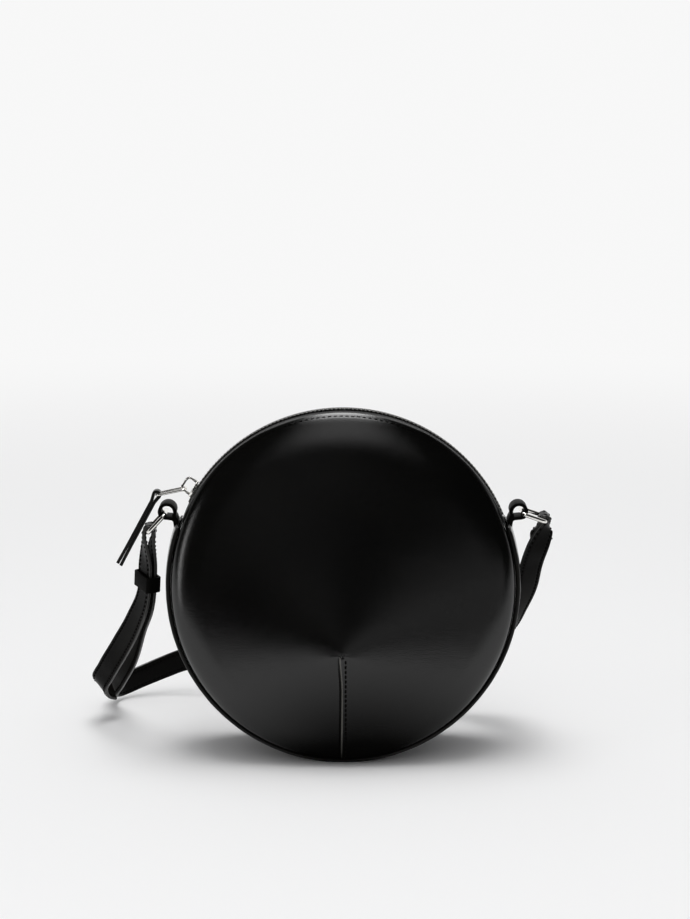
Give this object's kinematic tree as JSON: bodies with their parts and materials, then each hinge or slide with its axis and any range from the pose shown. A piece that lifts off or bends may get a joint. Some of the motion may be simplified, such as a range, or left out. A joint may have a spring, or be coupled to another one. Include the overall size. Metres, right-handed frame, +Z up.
{
  "type": "round crossbody bag",
  "caption": "Round zipped crossbody bag with a darted cone front, piped rims, a tapered gusset, side rings and a long strap with a keeper.",
  "frame": {"origin": "on the surface the bag stands on, under the middle of the bag", "axes": "+X to the right of the front view, +Y from the darted front towards the back, +Z up"},
  "size_m": [0.268, 0.1687, 0.1985],
  "materials": {
    "panel_leather": "smooth semi-gloss black",
    "piping_leather": "smooth semi-gloss black",
    "trim_leather": "smooth black with painted edges",
    "strap_leather": "smooth semi-gloss black",
    "strap_backing": "matt black",
    "lining": "plain weave",
    "stiffener": "fibre board",
    "zip_tape": "woven tape",
    "zip_teeth": "dark plated",
    "ring_metal": "polished nickel",
    "slider_metal": "polished nickel"
  },
  "bodies": {
    "bag": {"front_panel": "panel_leather", "back_panel": "panel_leather", "gusset": "panel_leather", "front_piping": "piping_leather", "back_piping": "piping_leather", "front_lining": "lining", "back_lining": "lining", "gusset_lining": "lining", "bottom_stiffener": "stiffener", "front_zip_tape": "zip_tape", "back_zip_tape": "zip_tape", "front_zip_teeth": "zip_teeth", "back_zip_teeth": "zip_teeth", "top_stops": "zip_teeth", "bottom_stop": "zip_teeth", "left_tab": "trim_leather", "right_tab": "trim_leather", "strap_face": "strap_leather", "strap_backing": "strap_backing"},
    "slider": {"slider_body": "slider_metal", "slider_bail": "slider_metal"},
    "pull": {"wire_pull": "ring_metal"},
    "thong": {"pull_thong": "trim_leather"},
    "left_loop": {"left_ring": "ring_metal"},
    "right_loop": {"right_ring": "ring_metal"},
    "strap_keeper": {"keeper": "trim_leather"}
  },
  "joints": [
    {"name": "zip_travel", "type": "hinge", "parent": "bag", "child": "slider", "pos_m": [0, 0, 0.0995], "axis": [0, 1, 0], "range_deg": [0, 116], "deforming": ["front_zip_teeth", "back_zip_teeth"]},
    {"name": "pull_swing", "type": "hinge", "parent": "slider", "child": "pull", "pos_m": [-0.08921, 0, 0.15242], "axis": [0, 1, 0], "range_deg": [0, 95]},
    {"name": "thong_swing", "type": "hinge", "parent": "pull", "child": "thong", "pos_m": [-0.10584, 0, 0.14888], "axis": [0, 1, 0], "range_deg": [0, 70]},
    {"name": "left_ring_swing", "type": "hinge", "parent": "bag", "child": "left_loop", "pos_m": [-0.10106, 0, 0.13842], "axis": [0, 1, 0], "range_deg": [-43, 8], "deforming": ["strap_face", "strap_backing"]},
    {"name": "right_ring_swing", "type": "hinge", "parent": "bag", "child": "right_loop", "pos_m": [0.10156, 0, 0.13919], "axis": [0, 1, 0], "range_deg": [-9, 55], "deforming": ["strap_face", "strap_backing"]},
    {"name": "keeper_slide", "type": "slide", "parent": "bag", "child": "strap_keeper", "axis": [-0.0594, 0.1287, -0.9899], "range_m": [-0.005, 0.006]}
  ]
}
